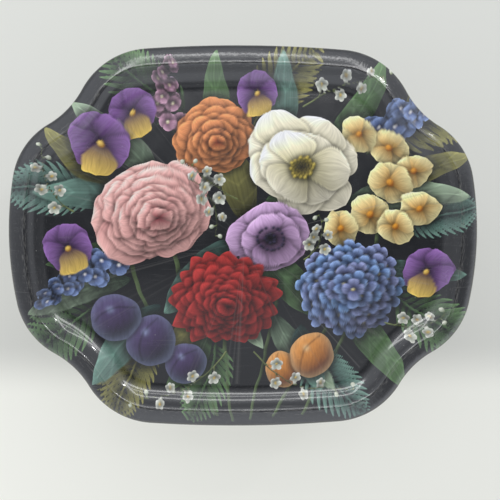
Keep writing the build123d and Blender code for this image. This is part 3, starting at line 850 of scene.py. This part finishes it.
# The stage: a pale sheet of paper that runs past the picture on every side, clear when seen from below.
# Part of what the camera sees of it is a glow of its own with painted shade in it: darker bands near the tray
# and a painted fall of light towards the right. So the real shadow on it is as soft as in a white room.
paper_side, painted_glow_share = 12.0, 0.5
paper, tree, surface, where = finish_of("pale_paper_with_painted_shade", {"Base Color": rgba("#e4e5e1"), "Roughness": 0.9})
ray = add(tree, "LightPath")
seen = add(tree, "Math", {0: ray["Is Camera Ray"], 1: ray["Is Glossy Ray"]}, operation="ADD")[0]
seen = add(tree, "Math", {0: seen, 1: ray["Is Transmission Ray"]}, operation="ADD")[0]
share = add(tree, "MapRange", {"Value": seen, "To Max": painted_glow_share})[0]
spread = add(tree, "SeparateXYZ", {"Vector": where})
# Painted shade in the glow: near white at the near end beyond the tray, darkest a little in from the tray's
# near edge, darker all under the tray and a shade lighter towards the far end.
rise = add(tree, "MapRange", {"Value": spread["Y"], "From Min": -0.4, "From Max": 0.4})[0]
painted_shade_tones = add(tree, "ValToRGB", {"Fac": rise})[0]
painted_shade_bands = painted_shade_tones.node.color_ramp
painted_shade_bands.interpolation = "EASE"
for position, code in [(0.21, "#fffff4"), (0.31, "#c5c5bc"), (0.42, "#cacac1"), (0.95, "#cdcec5")]:
    painted_shade_bands.elements.new(position).color = rgba(code)
for end in (-1, 0):
    painted_shade_bands.elements.remove(painted_shade_bands.elements[end])
lit = tree.nodes["Principled BSDF"].outputs[0]
# Painted light falling off to the right: the glow is a little brighter on the left and dimmer on the right.
painted_light_falloff = {"Value": spread["X"], "From Min": -0.35, "From Max": 0.35, "To Min": 1.04, "To Max": 0.87}
painted_light_falloff = add(tree, "MapRange", painted_light_falloff)[0]
# The paper's glow, with the painted shade bands and the painted fall of light in it.
even = add(tree, "Emission", {"Color": painted_shade_tones, "Strength": painted_light_falloff})[0]
look = add(tree, "MixShader", {0: share, 1: lit, 2: even})[0]
below = add(tree, "NewGeometry")["Backfacing"]
clear = add(tree, "BsdfTransparent")[0]
look = add(tree, "MixShader", {0: below, 1: look, 2: clear})[0]
tree.links.new(look, tree.nodes["Material Output"].inputs["Surface"])
bpy.ops.mesh.primitive_plane_add(size=paper_side)
floor = bpy.context.object
floor.name = "stage_floor"
floor.data.materials.append(paper)


# The light: a white room that is dim straight overhead, where the camera stands, brighter beyond the far
# and the near side and pale down to the floor, a leaning frame of five lit strips, and one small spot. Each
# row is a level of the room: the direction it follows, where it starts and ends there, and its two values.
world = bpy.data.worlds.new("white_room")
bpy.context.scene.world = world
world.use_nodes = True
tree = world.node_tree
way = add(tree, "SeparateXYZ", {"Vector": add(tree, "TexCoord")["Generated"]})
aside = add(tree, "Math", {0: way["X"]}, operation="ABSOLUTE")[0]
levels = {}
for name, value, low, high, first, last in [
    ("room", way["Z"], 0.80, 0.985, 0.58, 0.13),
    ("far_glow", way["Y"], -0.06, 0.26, 0.0, 0.5),
    ("near_glow", way["Y"], -0.22, -0.07, 0.42, 0.0),
    ("near_end", way["Y"], -0.50, -0.25, 0.0, 1.0),
    ("near_side", aside, 0.22, 0.45, 1.0, 0.0),
    ("skirt", way["Y"], -0.60, 0.10, 0.95, 0.62),
    ("skirt_side", way["X"], 0.0, 0.9, 0.0, 0.24),
    ("near_wall", way["Y"], -0.70, -0.45, 0.6, 0.0),
    ("wall_end", aside, 0.30, 0.65, 1.0, 0.0),
    ("right_dim", way["X"], 0.0, 0.9, 0.0, -0.24),
    ("low", way["Z"], 0.16, 0.35, 1.0, 0.0),
]:
    links = {"Value": value, "From Min": low, "From Max": high, "To Min": first, "To Max": last}
    levels[name] = add(tree, "MapRange", links, interpolation_type="SMOOTHSTEP")[0]
near = add(tree, "Math", {0: levels["near_glow"], 1: levels["near_end"]}, operation="MULTIPLY")[0]
glows = {0: near, 1: levels["near_side"], 2: levels["far_glow"]}
glows = add(tree, "Math", glows, operation="MULTIPLY_ADD")[0]
above = {0: levels["near_wall"], 1: levels["wall_end"], 2: glows}
above = add(tree, "Math", above, operation="MULTIPLY_ADD")[0]
for name in ("room", "right_dim"):
    above = add(tree, "Math", {0: above, 1: levels[name]}, operation="ADD")[0]
skirt = add(tree, "Math", {0: levels["skirt"], 1: levels["skirt_side"]}, operation="ADD")[0]
level = add(tree, "Mix", {"Factor": levels["low"], 2: above, 3: skirt})[0]
tree.links.new(level, tree.nodes["Background"].inputs["Strength"])
tree.nodes["Background"].inputs["Color"].default_value = rgba("#f3f7ff")


def panel(name, place, target, size, power):
    """A rectangular area light at a place in metres, turned to a target, with its power in watts."""
    lamp = bpy.data.lights.new(name, "AREA")
    lamp.shape = "RECTANGLE"
    lamp.size, lamp.size_y = size
    lamp.energy = power
    lamp_object = bpy.data.objects.new(name, lamp)
    back = (np.array(place) - np.array(target)) / np.linalg.norm(np.array(place) - np.array(target))
    side = np.cross((0, 1, 0), back) / np.linalg.norm(np.cross((0, 1, 0), back))
    turn = np.column_stack([side, np.cross(back, side), back])
    lamp_object.matrix_world = Matrix.Translation(place) @ Matrix(turn.tolist()).to_4x4()
    bpy.context.scene.collection.objects.link(lamp_object)


# The frame hangs beyond the tray's far edge and leans a little: its near edge is the higher one. The last
# value of a strip is its power in watts to the square metre.
frame_near, frame_far = np.array([0.05, 0.62, 1.56]), np.array([0.05, 1.91, 1.36])
frame_half, strip, middle_part = 0.7, 0.2, 0.31
frame_middle = (frame_near + frame_far) / 2
frame_length = np.linalg.norm(frame_far - frame_near)
frame_up = np.cross((1, 0, 0), frame_far - frame_near) / frame_length
for name, place_at, size, power in [
    ("near_strip", frame_near, (2 * frame_half, strip), 15),
    ("middle_strip", frame_near + middle_part * (frame_far - frame_near), (2 * frame_half, 0.5 * strip), 15),
    ("far_strip", frame_far, (2 * frame_half, 2 * strip), 14),
    ("left_strip", frame_middle - (frame_half, 0, 0), (strip, frame_length), 15),
    ("right_strip", frame_middle + (frame_half, 0, 0), (strip, frame_length), 15),
]:
    panel(name, place_at, place_at - frame_up, size, power * size[0] * size[1])
spot_place, spot_target, spot_side, spot_power = (1.1, 1.1, 1.5), (0, 0, 0.19), 0.10, 2.5
panel("spot_lamp", spot_place, spot_target, (spot_side, spot_side), spot_power)


# The camera, where the photo's outline of the tray puts it: nearly straight above, a little to the far side
# of the tray's middle and tipped back towards it. Its turns are in degrees, and its offset from the middle
# of the rim is in millimetres along its own axes.
roll, tip_back, sway = -0.05, 5.06, 1.38
rim_offset = Vector((5.13, -9.77, 628.7))


def turn_about(axis, angle):
    """The matrix of a turn by an angle in degrees about one axis."""
    return Matrix.Rotation(radians(angle), 3, axis)


tilt = (turn_about("Z", roll) @ turn_about("X", tip_back) @ turn_about("Y", sway)).transposed()
lens = bpy.data.cameras.new("photo_camera")
lens.sensor_width = 36.0
lens.lens = 43.2
lens.clip_start = 0.01
camera = bpy.data.objects.new("photo_camera", lens)
stand = tilt @ rim_offset + Vector((0, 0, floor_height + curl_centre[1]))
camera.matrix_world = Matrix.Translation(stand * mm) @ tilt.to_4x4()
bpy.context.scene.collection.objects.link(camera)
bpy.context.scene.camera = camera
bpy.context.scene.view_settings.view_transform = "Standard"
